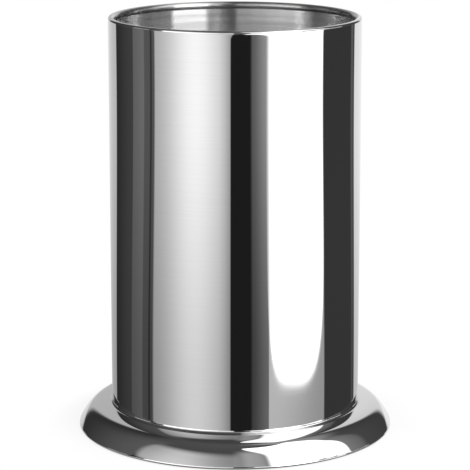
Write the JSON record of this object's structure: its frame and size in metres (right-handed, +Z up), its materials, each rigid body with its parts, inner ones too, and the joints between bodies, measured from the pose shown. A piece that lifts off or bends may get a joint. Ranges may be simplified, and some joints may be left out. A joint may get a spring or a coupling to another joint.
{
  "type": "straw holder",
  "caption": "Upright round straw holder: a polished steel tube with a rolled rim and a floor inside, standing in a flared base ring.",
  "frame": {"origin": "on the table, under the middle of the base", "axes": "+Z up along the tube's axis; the object is round, so X and Y are alike"},
  "size_m": [0.095, 0.095, 0.125],
  "materials": {
    "polished_wall_steel": "polished to a mirror outside with a faint grain round it, brushed inside",
    "plain_floor_steel": "plain rolled sheet, satin",
    "polished_base_steel": "polished to a mirror",
    "black_pad_rubber": "matt"
  },
  "bodies": {
    "root": {"cup_wall": "polished_wall_steel", "cup_floor": "plain_floor_steel", "base_ring": "polished_base_steel", "base_pad": "black_pad_rubber"}
  },
  "joints": []
}
